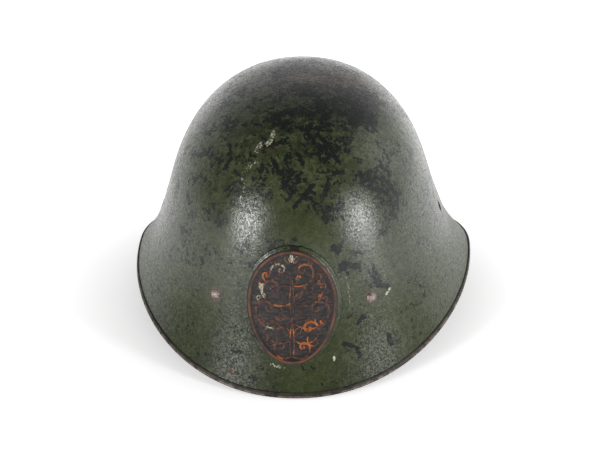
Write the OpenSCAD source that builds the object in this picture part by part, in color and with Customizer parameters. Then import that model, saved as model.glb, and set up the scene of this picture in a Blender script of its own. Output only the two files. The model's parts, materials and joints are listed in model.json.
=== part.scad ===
// Pressed steel helmet: a deep bowl with a flared skirt and a bound rim, an oval plate on the front,
// three liner rivets, two side vents, and inside it a riveted leather liner, side rings and chinstrap.
// The front faces -Y, +X is on the right of someone who looks at it, and the rim stands on Z = 0.

/* [Bowl] */
// Height of the crown above the edge at the front
crown_h = 181.7; // [174:0.1:190]
// Thickness of the pressed steel
wall = 1.2; // [0.9:0.1:1.5]
// Width of the bowl at its neck
bowl_w = 199.8; // [194:0.1:208]
// Reach of the neck in front of the crown
bowl_front = 111.8; // [108:0.1:116]
// Reach of the neck behind the crown
bowl_rear = 128.9; // [125:0.1:134]
// Roundness of the dome's outline, where 2 is an ellipse
dome_fullness = 2.32; // [2.1:0.01:2.4]
// Roundness of the outline seen from above
plan_fullness = 2.11; // [2:0.01:2.2]

/* [Skirt] */
// Width across the edge at the sides
edge_w = 258.2; // [250:0.1:266]
// Reach of the edge in front of the crown
edge_front = 137.2; // [132:0.1:141]
// Reach of the edge behind the crown
edge_rear = 148.9; // [144:0.1:154]
// Height of the arched edge at the sides
edge_rise = 23.6; // [18:0.1:28]
// How late the edge rises from the front towards the sides
rise_power = 2; // [1.8:0.1:3]
// How far behind the crown the edge is widest
edge_shift = 44.5; // [36:0.5:50]
// Height of the neck at the front
front_neck_h = 69.6; // [66:0.1:74]
// Height of the neck at the sides
side_neck_h = 59.7; // [55:0.1:63]
// Height of the neck at the rear
rear_neck_h = 78.6; // [75:0.1:84]
// Height at which the front begins to flare
front_flare_h = 84.2; // [78:0.1:92]
// Height at which the sides begin to flare
side_flare_h = 104.6; // [98:0.1:112]
// Height at which the rear begins to flare
rear_flare_h = 92.4; // [86:0.1:100]
// How late the front flares outwards
front_flare = 2.05; // [1.9:0.05:2.2]
// How late the sides flare outwards
side_flare = 1.77; // [1.6:0.01:2]
// How late the rear flares outwards
rear_flare = 2; // [1.9:0.05:2.2]

/* [Rim binding] */
// Thickness of the folded steel strip
fold_t = 0.6; // [0.4:0.1:0.8]
// Depth of the folded strip on the wall
fold_leg = 3.2; // [2.8:0.1:4]
// Gap between the ends of the strip at the rear
fold_seam = 0.6; // [0.4:0.1:1.2]

/* [Front plate] */
// Width of the oval plate
plate_w = 68; // [62:1:70]
// Height of the oval plate
plate_h = 87; // [80:1:90]
// Height of the plate's centre
plate_z = 62.8; // [61:0.1:65]
// Thickness of the plate's sheet
plate_t = 0.8; // [0.6:0.1:1]
// Width of the flat flange round the bead
flange_w = 2.5; // [2:0.1:4]
// Width of the raised bead
bead_w = 3.2; // [2.4:0.1:3.6]
// Height of the bead above the flange
bead_h = 1.3; // [0.8:0.1:1.8]
// Height of the domed ground above the flange
ground_h = 1.3; // [0.8:0.1:2]
// Distance of each fixing prong from the plate's centre
prong_reach = 28; // [22:1:32]
// Width of a prong
prong_w = 5; // [4:0.5:7]
// Length of a prong's bent foot
prong_foot = 10; // [7:1:13]

/* [Liner rivets] */
// Height of the front liner rivets
rivet_z = 61.6; // [59:0.1:66]
// Angle of the front rivets from the front
rivet_turn = 27.8; // [25:0.1:30]
// Height of the rear liner rivet
rear_rivet_z = 61.6; // [59:0.1:66]
// Diameter of a rivet's domed head
rivet_head_d = 7.2; // [6.4:0.2:9]
// Height of a rivet's domed head
rivet_head_h = 2; // [1.4:0.1:2.6]
// Diameter of a rivet's shank
rivet_d = 4; // [3:0.2:4.6]
// Outer diameter of the spacer on each shank
spacer_d = 8; // [7:0.5:10]
// Diameter of the washer under each formed end
washer_d = 10; // [9:0.5:12]
// Thickness of the washer
washer_t = 0.8; // [0.6:0.1:1.2]

/* [Vents] */
// Height of the vent holes
vent_z = 79.6; // [76:0.2:90]
// Diameter of the vent holes
vent_d = 8; // [5:0.5:10]

/* [Liner] */
// Stand-off of the liner band from the bowl
stand_off = 12; // [10:0.5:13]
// Thickness of the liner band
band_t = 0.8; // [0.6:0.1:1]
// Height of the liner band's lower edge
band_z = 51.5; // [49:0.5:53]
// Height of the liner band
band_h = 22; // [20:1:24]
// Thickness of the liner's leather
leather_t = 1.8; // [1.4:0.1:2]
// Height of the sweatband's upper edge
sweatband_top = 94; // [92:1:98]
// Distance that the pads hold the sweatband off the band
pad_t = 8.4; // [7:0.2:9.4]
// Height of the pads' upper edge
pad_top = 83; // [80:0.5:84]
// Length of each felt pad
pad_l = 62; // [50:1:72]
// Width of a tongue at the sweatband
tongue_w = 54; // [46:1:58]
// Width of a tongue's tip
tongue_tip_w = 10.5; // [8:0.5:12]
// Thickness of the crown lace
lace_d = 2.4; // [2:0.1:2.8]
// Diameter of the small rivets in the liner band
small_rivet_d = 2.6; // [2:0.1:3]
// Diameter of the heads of the small rivets
small_head_d = 5; // [4.6:0.1:6]

/* [Side rings] */
// Width of a side lug
lug_w = 17; // [15:0.5:18]
// Thickness of a side lug
lug_t = 1; // [0.8:0.1:1.4]
// Diameter of the ring's wire
ring_wire = 3; // [2.6:0.1:3.4]
// Distance between the two bars of a ring, centre to centre
ring_h = 14; // [13:0.5:16]

/* [Chinstrap] */
// Width of the strap
strap_w = 16; // [13:0.5:16]
// Thickness of the strap
strap_t = 2; // [1.6:0.1:2.2]
// Radius at which the strap turns onto the table
strap_bend = 11; // [9:0.5:12]
// Distance from the middle to where the long half turns back
curl_x = 18; // [12:1:22]
// Radius of that turn
curl_r = 8; // [7:0.5:9]
// Slope of the long half's free end
curl_slope = 19; // [17:1:24]
// Distance from the middle to the buckle's fixed bar
buckle_x = 60; // [57:1:62]
// Length of the buckle between its bars
buckle_l = 16; // [14:0.5:18]
// Diameter of the buckle's wire
buckle_wire = 2.5; // [2:0.1:2.8]
// Thickness of the prong
tang_d = 2.2; // [1.8:0.1:2.4]
// Number of holes in the long half
strap_holes = 4; // [3:1:5]
// Distance between these holes
hole_pitch = 8; // [6:0.5:9]

/* [Hidden] */

// Clearances: between seated faces, between two curved sheets, under a flat piece inside a curve,
// round a fixed shank, round what turns on a pin, and over the table
seat = 0.2;
sheet_gap = 0.35;
curve_gap = 0.5;
bore_gap = 0.15;
hinge_gap = 0.3;
floor_gap = 0.3;

// Angles of the front, the rear and the two sides, counted from the front
front_t = 0;
rear_t = 180;
left_t = -90;
right_t = 90;

// Facets round the bowl, rows up the dome and rows down the skirt
around = 64;
dome_rows = 12;
skirt_rows = 8;
ring_facets = 48;
$fn = 40;

// The three outlines that the bowl is lofted between: reach and height of the neck, reach and height of
// the edge, height where the flare begins, and how sharply it flares
side_guide = [bowl_w / 2, side_neck_h, edge_w / 2, edge_rise, side_flare_h, side_flare];
front_guide = [bowl_front, front_neck_h, edge_front, 0, front_flare_h, front_flare];
rear_guide = [bowl_rear, rear_neck_h, edge_rear, 0, rear_flare_h, rear_flare];
// Share of the outline down to the neck, where its widest part begins to move back, and how late it moves
neck_s = 0.6;
shift_s = 0.45;
shift_power = 1.5;
// Steps over which slopes are taken
slope_step = 0.002;
turn_step = 0.1;

// How far the cuts reach in front of the wall and behind it
cut = 4;

// Corners of the folded rim strip, outside and inside, and how far it is held off the edge
fold_round = 0.7;
fold_inner_round = 0.3;
fold_rest = 0.1;

// Softened edge of the plate, and its rise at the foot of the ground
plate_edge = 0.4;
plate_edge_drop = 0.3;
ground_foot = 0.2;

// Formed end of a liner rivet, head of a small rivet, and room round the washers in the leather
tail_d = rivet_head_d - 0.8;
tail_h = 1.4;
small_head_h = 1;
washer_room = 1.2;

// Depths of the liner's layers, measured inwards from the outer face of the bowl
band_out = wall + stand_off;
band_in = band_out + band_t;
leather_low = band_in + sheet_gap;
leather_high = band_in + pad_t + 2 * sheet_gap;
tongue_out = leather_high - leather_t - sheet_gap;
lace_depth = tongue_out + leather_t / 2;
lace_s = 0.08;
tunnel_gap = 0.9;
tunnel_wall = 1.3;
tongues = 8;
tongue_rows = 10;
tongue_taper = 1.2;
tongue_end_s = lace_s + 0.0075;
tongue_base = pad_top + 1.5;
pad_low = band_z + 17;
pad_s = 0.65;
pad_chamfer = 3;
leather_low_z = band_z - 1;
flap_h = 9;
flap_step = 4;
knot_d = 2.6 * lace_d;
small_rivet_z = band_z + 4;
small_rivet_turns = [0, 48, 132, 165, 195, 228, 312];

// Side lugs: a plate on the band's outer face and a rolled barrel below the band's edge
lug_seat = 0.45;
lug_top = 5;
barrel_r = ring_wire / 2 + hinge_gap + lug_t;
barrel_drop = 2.2;
barrel_down = small_rivet_z - leather_low_z + barrel_r + barrel_drop;
barrel_h = lug_seat + lug_t - barrel_r;
ring_corner = 2.4;
ring_room = 0.5;

// Straps: overlap that fuses two stretches, start of the doubled stem above its bend, and the folded ends
lap = 0.3;
strap_mid = floor_gap + strap_t / 2;
stem_start = 4;
stem_lap = 2;
eye_r = ring_wire / 2 + hinge_gap + strap_t;
fold_l = 18;
fold_taper = 12;
keeper_h = 6;
tip_l = 10;
tip_chamfer = 5;

// Buckle: height of its fixed bar, its corners, the slot for the tang and the tang's eye
bar_z = floor_gap + strap_t + hinge_gap + buckle_wire / 2;
buckle_corner = 1.6;
buckle_room = 0.4;
tang_slot_l = 11;
tang_slot_w = tang_d + 4 * hinge_gap;
tang_eye = 1.1;
tang_over = 2;

// Origin of the outlines: the lowest point of the bound rim is put on the table, its middle at Y = 0
mid_y = (edge_rear - edge_front) / 2;
fold_out = fold_t + seat;
lift = -min([for (t = [front_t, rear_t], p = fold_section(1, t)) p.z]);

// Reach and height of one outline at s, which runs from 0 at the crown over the neck to 1 at the edge
function guide(k, s) =
    let (a = 90 * min(s / neck_s, 1))
    let (v = max(0, (s - neck_s) / (1 - neck_s)))
    let (rise = (crown_h - k[1]) * pow(cos(a), 2 / dome_fullness))
    let (z = s < neck_s ? k[1] + rise : k[1] - (k[1] - k[3]) * v)
    let (flare = pow(max(0, (k[4] - z) / (k[4] - k[3])), k[5]))
    [k[0] * pow(sin(a), 2 / dome_fullness) + (k[2] - k[0]) * flare, z];

// Point on the bowl's outer face before it is lifted, at s down the outline and t degrees from the front
function pressed(s, t) =
    let (side = guide(side_guide, s))
    let (front = guide(front_guide, s))
    let (rear = guide(rear_guide, s))
    let (end_z = cos(t) > 0 ? front[1] : rear[1])
    let (shift = edge_shift * pow(max(0, (s - shift_s) / (1 - shift_s)), shift_power))
    let (reach = pow(abs(cos(t)), 2 / plan_fullness))
    let (y = cos(t) > 0 ? shift - (front[0] + shift) * reach : shift + (rear[0] - shift) * reach)
    let (x = side[0] * sign(sin(t)) * pow(abs(sin(t)), 2 / plan_fullness))
    [x, y - mid_y, end_z + (side[1] - end_z) * pow(abs(sin(t)), rise_power)];

function unit(v) = v / norm(v);
function down(s, t) = unit(pressed(s + slope_step, t) - pressed(s - slope_step, t));
function along(s, t) = unit(pressed(s, t + turn_step) - pressed(s, t - turn_step));
function outward(s, t) = unit(cross(down(s, t), along(s, t)));

// Point at h outside the bowl's outer face, with the bowl on its rim
function at(s, t, h) = pressed(s, t) + h * outward(s, t) + [0, 0, lift];

// How far down the outline, at t, the outer face passes the height z
function s_at(z, t, low = 0.05, high = 1, tries = 18) =
    let (middle = (low + high) / 2)
    tries == 0 ? middle :
    let (above = pressed(middle, t).z + lift > z)
    above ? s_at(z, t, middle, high, tries - 1) : s_at(z, t, low, middle, tries - 1);

// Millimetres along the face for each degree, at s and t
function stretch(s, t) = norm(pressed(s, t + 1) - pressed(s, t - 1)) / 2;

// Point of the front at x to the side and height z, at h outside the outer face
function front_at(x, z, h) =
    let (s = s_at(z, 0))
    let (t = asin(pow(abs(x) / guide(side_guide, s)[0], plan_fullness / 2)))
    at(s, sign(x) * t, h);

// Section of the folded rim strip, out one side of its sheet and back along the other
function fold_section(s, t) =
    let (n = outward(s, t))
    let (d = down(s, t))
    let (back = -wall - seat)
    let (outer = [[fold_out, -fold_leg], [fold_out, 0], [fold_out - fold_round, fold_out],
        [fold_round - wall - fold_out, fold_out], [-wall - fold_out, 0], [-wall - fold_out, -fold_leg]])
    let (inner = [[back, -fold_leg], [back, -fold_rest], [back + fold_inner_round, seat],
        [seat - fold_inner_round, seat], [seat, -fold_rest], [seat, -fold_leg]])
    [for (p = concat(outer, inner)) pressed(s, t) + p[0] * n + p[1] * d];

// Face pairs between two neighbouring rows of points, for a row of m points
function wall_faces(m, a, b, last) =
    [for (j = [0:last]) let (k = (j + 1) % m) each [[a + j, b + j, b + k], [a + j, b + k, a + k]]];

// Solid swept through sections of equal count, each listed out along one face and back along the other
module loft(sections, closed = false) {
    n = len(sections);
    m = len(sections[0]);
    steps = closed ? n - 1 : n - 2;
    sides = [for (i = [0:steps]) each wall_faces(m, i * m, ((i + 1) % n) * m, m - 1)];
    half = m / 2;
    first = [for (j = [0:half - 2]) each [[j, j + 1, m - 2 - j], [j, m - 2 - j, m - 1 - j]]];
    final = [for (f = first) [for (v = f) (n - 1) * m + v]];
    flipped = [for (f = final) [f[2], f[1], f[0]]];
    polyhedron([for (section = sections) each section], closed ? sides : concat(sides, first, flipped));
}

// Carries its children to the outer face at s and t: Z points outwards and X down the wall
module on_wall(s, t, h = 0) {
    n = outward(s, t);
    translate(at(s, t, h)) rotate([0, acos(n.z), atan2(n.y, n.x)]) children();
}

// Angles at which the three liner rivets sit, with their heights
rivets = [[s_at(rivet_z, rivet_turn), -rivet_turn], [s_at(rivet_z, rivet_turn), rivet_turn],
    [s_at(rear_rivet_z, 180), 180]];

// Bowl: one pressing, lofted between its front, side and rear outlines
module shell_blank() {
    rows = concat([for (i = [1:dome_rows]) neck_s * i / dome_rows],
        [for (i = [1:skirt_rows]) neck_s + (1 - neck_s) * i / skirt_rows]);
    m = len(rows);
    inner = 1 + m * around;
    outer_face = [for (s = rows, j = [0:around - 1]) at(s, 360 * j / around, 0)];
    inner_face = [for (s = rows, j = [0:around - 1]) at(s, 360 * j / around, -wall)];
    crown = [0, -mid_y, crown_h + lift];
    points = concat([crown], outer_face, [crown - [0, 0, wall]], inner_face);
    starts = [for (i = [0:m - 2]) 1 + i * around];
    outer_sides = [for (a = starts) each wall_faces(around, a, a + around, around - 1)];
    inner_sides = [for (f = outer_sides) [f[2] + inner, f[1] + inner, f[0] + inner]];
    edge = wall_faces(around, 1 + (m - 1) * around, inner + 1 + (m - 1) * around, around - 1);
    cap = [for (j = [0:around - 1]) [0, 1 + j, 1 + (j + 1) % around]];
    inner_cap = [for (f = cap) [f[2] + inner, f[1] + inner, f[0] + inner]];
    faces = concat(outer_sides, inner_sides, edge, cap, inner_cap);
    polyhedron(points, [for (f = faces) [f[2], f[1], f[0]]]);
}

// Carries its children to the place of one prong
module prong_place(side) {
    on_wall(s_at(plate_z + side * prong_reach, front_t), front_t) children();
}

module shell() {
    color("darkolivegreen") difference() {
        shell_blank();
        for (r = rivets) on_wall(r[0], r[1], -cut) cylinder(d = rivet_d + 2 * bore_gap, h = 2 * cut);
        for (t = [left_t, right_t]) on_wall(s_at(vent_z, t), t, -cut) cylinder(d = vent_d, h = 2 * cut);
        for (side = [-1, 1]) prong_place(side)
            cube([plate_t + 2 * bore_gap, prong_w + 2 * bore_gap, 2 * cut], center = true);
    }
}

// Steel strip folded over the edge, with its ends butted at the rear
module rim_binding() {
    ends = fold_seam / 2 / stretch(1, rear_t);
    middle = [for (j = [1:around - 1]) 360 * j / around - rear_t];
    turns = concat([ends - rear_t], middle, [rear_t - ends]);
    color("#4a3a2c") loft([for (t = turns) [for (p = fold_section(1, t)) p + [0, 0, lift]]]);
}

// Oval plate: flat flange, raised bead and a domed ground, pressed from one sheet to the curve of the bowl
module badge_plate() {
    facets = 40;
    a = plate_w / 2;
    b = plate_h / 2;
    ground = flange_w + bead_w;
    top = seat + plate_t;
    // Inset from the oval's edge, and height above the outer face of the bowl
    edge_rows = [[0, top - plate_edge_drop], [plate_edge, top], [flange_w, top]];
    bead_rows = [for (k = [1:3]) [flange_w + bead_w * k / 4, top + bead_h * sqrt(sin(180 * k / 4))]];
    ground_rows = [for (k = [1:4]) [ground + (a - ground) * k / 5, top + ground_h * sin(90 * k / 5)]];
    profile = concat(edge_rows, bead_rows, [[ground, top + ground_foot]], ground_rows);
    m = len(profile);
    under = [for (p = profile) [p[0], max(seat, p[1] - plate_t)]];
    function oval(p, j) =
        let (turn = 360 * j / facets)
        front_at((a - p[0]) * cos(turn), plate_z + (b - p[0]) * sin(turn), p[1]);
    face = [for (p = profile, j = [0:facets - 1]) oval(p, j)];
    back = [for (p = under, j = [0:facets - 1]) oval(p, j)];
    middle = front_at(0, plate_z, top + ground_h);
    middle_back = front_at(0, plate_z, top + ground_h - plate_t);
    n = m * facets;
    front_sides = [for (i = [0:m - 2]) each wall_faces(facets, i * facets, (i + 1) * facets, facets - 1)];
    back_sides = [for (f = front_sides) [f[2] + n, f[1] + n, f[0] + n]];
    edge = wall_faces(facets, n, 0, facets - 1);
    last = (m - 1) * facets;
    cap = [for (j = [0:facets - 1]) [2 * n, last + (j + 1) % facets, last + j]];
    back_cap = [for (j = [0:facets - 1]) [2 * n + 1, n + last + j, n + last + (j + 1) % facets]];
    color("#6b4a30") polyhedron(concat(face, back, [middle, middle_back]),
        concat(front_sides, back_sides, edge, cap, back_cap));
}

// Two prongs behind the plate, put through slots in the bowl and bent flat inside
module badge_prongs() {
    color("#7a6a55") for (side = [-1, 1]) prong_place(side) {
        stem = wall + curve_gap + plate_t;
        translate([-plate_t / 2, -prong_w / 2, -stem]) cube([plate_t, prong_w, stem]);
        translate([side > 0 ? -plate_t / 2 : plate_t / 2 - prong_foot, -prong_w / 2, -stem])
            cube([prong_foot, prong_w, plate_t]);
    }
}

// Domed head, its lowest edge at Z = 0
module dome(d, h) {
    r = (d * d / 4 + h * h) / (2 * h);
    rotate_extrude() intersection() {
        translate([0, h - r]) circle(r, $fn = 96);
        square([d / 2, h]);
    }
}

// Liner rivet: domed head outside, shank through bowl, spacer, band and washer, and a formed end inside
module liner_rivet(k) {
    grip = band_in + curve_gap + washer_t + seat;
    color("#8f7f78") on_wall(rivets[k][0], rivets[k][1]) {
        translate([0, 0, seat]) dome(rivet_head_d, rivet_head_h);
        translate([0, 0, -grip]) cylinder(d = rivet_d, h = grip + seat);
        translate([0, 0, -grip]) mirror([0, 0, 1]) dome(tail_d, tail_h);
    }
}

module rivet_spacers() {
    color("silver") for (r = rivets) on_wall(r[0], r[1], seat - band_out) difference() {
        cylinder(d = spacer_d, h = stand_off - 2 * seat);
        translate([0, 0, -cut]) cylinder(d = rivet_d + 2 * bore_gap, h = stand_off + 2 * cut);
    }
}

module rivet_washers() {
    color("silver") for (r = rivets) on_wall(r[0], r[1], -band_in - curve_gap - washer_t) difference() {
        cylinder(d = washer_d, h = washer_t);
        translate([0, 0, -cut]) cylinder(d = rivet_d + 2 * bore_gap, h = washer_t + 2 * cut);
    }
}

// Closed ring with the same section all round, from points [height, depth] down one face and up the other
module lined_ring(path) {
    loft([for (j = [0:ring_facets - 1]) let (t = 360 * j / ring_facets)
        [for (p = path) at(s_at(p[0], t), t, -p[1])]], true);
}

// Holes for the three liner rivets through whatever lies inside the bowl
module rivet_bores(d) {
    for (r = rivets) on_wall(r[0], r[1], -band_out - 1.5 * cut) cylinder(d = d, h = 3 * cut);
}

// Places of the small rivets between the side lugs, and of the two rivets of each lug
module small_rivet_places() {
    for (t = small_rivet_turns) on_wall(s_at(small_rivet_z, t), t, -band_out) children();
}

module lug_rivet_places() {
    for (t = [left_t, right_t], y = [-lug_w / 4, lug_w / 4]) on_wall(s_at(small_rivet_z, t), t, -band_out)
        translate([0, y, 0]) children();
}

// Bore for a small rivet, through the band and the leather
module small_rivet_bore() {
    translate([0, 0, -1.5 * cut]) cylinder(d = small_rivet_d + 2 * bore_gap, h = 2 * cut);
}

module liner_band() {
    heights = [band_z, band_z + band_h / 2, band_z + band_h];
    outer = [for (k = [2:-1:0]) [heights[k], band_out]];
    inner = [for (k = [0:2]) [heights[k], band_in]];
    color("#6d7468") difference() {
        lined_ring(concat(outer, inner));
        rivet_bores(rivet_d + 2 * bore_gap);
        small_rivet_places() small_rivet_bore();
        lug_rivet_places() small_rivet_bore();
    }
}

// Depth of the sweatband's outer face at the height z: flat on the band below, held off by the pads above
function leather_depth(z) =
    let (u = min(1, max(0, (z - band_z - flap_h) / (pad_low + pad_chamfer - band_z - flap_h))))
    leather_low + (leather_high - leather_low) * u * u * (3 - 2 * u);

module sweatband() {
    bend_z = band_z + flap_h;
    heights = [sweatband_top, sweatband_top - 1, pad_low + pad_chamfer, bend_z + 2 * flap_step,
        bend_z + flap_step, bend_z, leather_low_z];
    outer = [for (z = heights) [z, leather_depth(z)]];
    inner = [for (k = [len(heights) - 1:-1:0]) [heights[k], leather_depth(heights[k]) + leather_t]];
    color("#6b3f22") difference() {
        lined_ring(concat(outer, inner));
        rivet_bores(washer_d + 2 * washer_room);
        small_rivet_places() small_rivet_bore();
        lug_rivet_places() small_rivet_bore();
    }
}

// Small rivet through the band and the leather, with extra grip outside for a lug
module small_rivet(extra) {
    inside = band_t + leather_t + sheet_gap + curve_gap;
    translate([0, 0, -inside]) cylinder(d = small_rivet_d, h = inside + extra + seat);
    translate([0, 0, extra + seat]) dome(small_head_d, small_head_h);
    translate([0, 0, -inside]) mirror([0, 0, 1]) dome(small_head_d, small_head_h);
}

module sweatband_rivets() {
    color("silver") small_rivet_places() small_rivet(0);
}

module lug_rivets() {
    color("silver") lug_rivet_places() small_rivet(lug_seat + lug_t);
}

// Felt pad between the band and the sweatband, centred at t
module pad(t) {
    heights = [pad_top, (pad_low + pad_top) / 2, pad_low + pad_chamfer, pad_low];
    color("#5f5a50") loft([for (k = [-4:4]) let (a = t + k / 4 * pad_l / 2 / stretch(pad_s, t)) concat(
        [for (z = heights) at(s_at(z, a), a, -band_in - sheet_gap)],
        [for (i = [3:-1:0]) at(s_at(heights[i], a), a, sheet_gap - leather_depth(heights[i]))])]);
}

// Crown tongue: tapers from the sweatband to a sewn tunnel for the lace
module tongue(k) {
    t0 = 360 / tongues * (k - 0.5);
    function width(u) = tongue_tip_w + (tongue_w - tongue_tip_w) * pow(1 - u, tongue_taper);
    color("#75482a") difference() {
        union() {
            loft([for (i = [0:tongue_rows]) let (u = i / tongue_rows)
                [for (side = [0, 1], x = side == 0 ? [-2:2] : [2:-1:-2])
                    let (across = x / 4 * width(u))
                    let (base = s_at(tongue_base, t0 + across / stretch(0.5, t0)))
                    let (s = base + (tongue_end_s - base) * u)
                    at(s, t0 + across / stretch(s, t0), -tongue_out - side * leather_t)]]);
            on_wall(lace_s, t0, -lace_depth) rotate([90, 0, 0])
                cylinder(r = lace_d / 2 + tunnel_gap + tunnel_wall, h = tongue_tip_w - 2, center = true);
        }
        on_wall(lace_s, t0, -lace_depth) rotate([90, 0, 0])
            cylinder(r = lace_d / 2 + tunnel_gap, h = 2 * tongue_tip_w, center = true);
    }
}

// Lace that draws the eight tongues together, knotted at the rear
module crown_lace() {
    r = lace_d / 2;
    function section(t) =
        [for (a = [0:60:300]) at(lace_s, t, r * cos(a) - lace_depth) + r * sin(a) * down(lace_s, t)];
    color("#3a2a1c") {
        loft([for (j = [0:ring_facets - 1]) section(360 * j / ring_facets)], true);
        on_wall(lace_s, rear_t, -lace_depth) sphere(d = knot_d, $fn = 16);
    }
}

// Where the lugs sit on the band, and the axis of the right lug's barrel
lug_s = s_at(small_rivet_z, right_t);
lug_n = outward(lug_s, right_t);
hinge = at(lug_s, right_t, barrel_h - band_out) + barrel_down * unit([lug_n.z, 0, -lug_n.x]);

module side_lug(side) {
    color("#6d7468") on_wall(lug_s, right_t * side, -band_out) difference() {
        union() {
            translate([-lug_top, -lug_w / 2, lug_seat]) cube([barrel_down + lug_top, lug_w, lug_t]);
            translate([barrel_down, 0, barrel_h]) rotate([90, 0, 0])
                cylinder(r = barrel_r, h = lug_w, center = true);
        }
        translate([barrel_down, 0, barrel_h]) rotate([90, 0, 0])
            cylinder(r = ring_wire / 2 + hinge_gap, h = 2 * lug_w, center = true);
        for (y = [-lug_w / 4, lug_w / 4]) translate([0, y, 0]) small_rivet_bore();
    }
}

// Rectangle of round wire in the XY plane, w and h between the centres of its bars
module wire_frame(w, h, wire, corner) {
    for (m = [0, 1]) mirror([0, m, 0]) {
        translate([0, h / 2, 0]) rotate([0, 90, 0]) cylinder(d = wire, h = w - 2 * corner, center = true);
        for (n = [0, 1]) mirror([n, 0, 0]) translate([w / 2 - corner, h / 2 - corner, 0])
            rotate_extrude(angle = 90) translate([corner, 0]) circle(d = wire);
    }
    for (m = [0, 1]) mirror([m, 0, 0]) translate([w / 2, 0, 0]) rotate([90, 0, 0])
        cylinder(d = wire, h = h - 2 * corner, center = true);
}

module side_ring(side) {
    color("silver") translate([side * hinge.x, hinge.y, hinge.z - ring_h / 2]) rotate([90, 0, 90])
        wire_frame(lug_w + 2 * (ring_room + ring_corner), ring_h, ring_wire, ring_corner);
}

// Straps run in the upright plane through both hinges: outlines there, given a width along Y
ring_bar_z = hinge.z - ring_h;
strap_x = hinge.x - strap_t / 2;
bend_top = strap_mid + strap_bend;
module strap_solid() {
    translate([0, hinge.y, 0]) rotate([90, 0, 0]) linear_extrude(strap_w, center = true) children();
}

// Strip of strap bent round the origin at radius r, from angle a to angle b
module bend(r, a, b) {
    intersection() {
        difference() {
            circle(r + strap_t / 2);
            circle(r - strap_t / 2);
        }
        polygon([[0, 0], for (k = [0:6]) let (turn = a + (b - a) * k / 6) 3 * r * [cos(turn), sin(turn)]]);
    }
}

// Eye round the ring's lower bar, doubled stem, and the turn onto the table
module strap_top() {
    difference() {
        union() {
            translate([hinge.x, ring_bar_z]) circle(eye_r);
            translate([hinge.x - strap_t, bend_top + stem_start])
                square([2 * strap_t, ring_bar_z - bend_top - stem_start]);
            translate([strap_x - strap_t / 2, bend_top - lap]) square([strap_t, stem_start + stem_lap]);
        }
        translate([hinge.x, ring_bar_z]) circle(eye_r - strap_t);
    }
    translate([strap_x - strap_bend, bend_top]) bend(strap_bend, -90, 0);
}

// Long half: along the table, back over itself, and down to its tip
curl_end = 90 - curl_slope;
free_start = [-curl_x + curl_r * cos(curl_end), strap_mid + curl_r + curl_r * sin(curl_end)];
free_low = strap_mid + strap_t / 2 + floor_gap + strap_t / 2 * cos(curl_slope);
free_l = (free_start.y - free_low) / sin(curl_slope);

// Cuts the corners off a strap's free end, which is at X = 0 and points along X
module tip_cut() {
    for (m = [0, 1]) mirror([0, m, 0]) translate([0, strap_w / 2, 0])
        linear_extrude(strap_t + 2 * lap, center = true)
            polygon([[-tip_chamfer, lap], [lap, lap], [lap, -tip_chamfer]]);
}

module strap_long() {
    color("#6b3f22") mirror([1, 0, 0]) difference() {
        strap_solid() {
            strap_top();
            translate([-curl_x, floor_gap]) square([strap_x - strap_bend + curl_x + lap, strap_t]);
            translate([-curl_x, strap_mid + curl_r]) bend(curl_r, curl_end, 270);
            translate(free_start) rotate(-curl_slope) translate([-lap, -strap_t / 2])
                square([free_l + lap, strap_t]);
        }
        translate([free_start.x, hinge.y, free_start.y]) rotate([0, curl_slope, 0]) {
            translate([free_l, 0, 0]) tip_cut();
            for (k = [0:strap_holes - 1]) translate([free_l - tip_l - k * hole_pitch, 0, 0])
                cylinder(d = tang_d + 2 * hinge_gap, h = 1.5 * cut, center = true);
        }
    }
}

// Short half: along the table to an eye round the buckle's fixed bar, slotted for the tang
module strap_short() {
    color("#6b3f22") difference() {
        strap_solid() {
            strap_top();
            translate([buckle_x, floor_gap]) square([strap_x - strap_bend - buckle_x + lap, strap_t]);
            difference() {
                union() {
                    translate([buckle_x, bar_z]) circle(bar_z - floor_gap);
                    polygon([[buckle_x, floor_gap], [buckle_x, 2 * bar_z - floor_gap],
                        [buckle_x + fold_taper, floor_gap + 2 * strap_t],
                        [buckle_x + fold_l, floor_gap + 2 * strap_t], [buckle_x + fold_l, floor_gap]]);
                }
                translate([buckle_x, bar_z]) circle(buckle_wire / 2 + hinge_gap);
            }
        }
        translate([buckle_x, hinge.y, bar_z]) cube([tang_slot_l, tang_slot_w, 2 * bar_z], center = true);
    }
}

// Leather loop sewn round the doubled stem
module strap_keeper() {
    inner_x = 2 * strap_t + 2 * hinge_gap;
    inner_y = strap_w + 2 * hinge_gap;
    color("#5d351c") translate([hinge.x, hinge.y, bend_top + stem_start + curve_gap])
        linear_extrude(keeper_h) difference() {
            square([inner_x + 2 * leather_t, inner_y + 2 * leather_t], center = true);
            square([inner_x, inner_y], center = true);
        }
}

buckle_tilt = asin((bar_z - floor_gap - buckle_wire / 2) / buckle_l);
module buckle_frame() {
    color("silver") translate([buckle_x, hinge.y, bar_z]) rotate([0, -buckle_tilt, 0])
        translate([-buckle_l / 2, 0, 0]) rotate([0, 0, 90])
            wire_frame(strap_w + 2 * (buckle_room + buckle_corner), buckle_l, buckle_wire, buckle_corner);
}

// Tang: turns on the fixed bar and rests over the far bar
tang_lift = asin((buckle_wire / 2 + tang_d / 2 + bore_gap) / buckle_l);
module buckle_tang() {
    bore_r = buckle_wire / 2 + hinge_gap;
    color("silver") translate([buckle_x, hinge.y, bar_z]) rotate([0, tang_lift - buckle_tilt, 0])
        difference() {
            union() {
                rotate([90, 0, 0]) cylinder(r = bore_r + tang_eye, h = tang_d, center = true);
                rotate([0, -90, 0]) cylinder(d = tang_d, h = buckle_l + tang_over);
                translate([-buckle_l - tang_over, 0, 0]) sphere(d = tang_d);
            }
            rotate([90, 0, 0]) cylinder(r = bore_r, h = 2 * tang_d, center = true);
        }
}

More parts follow.
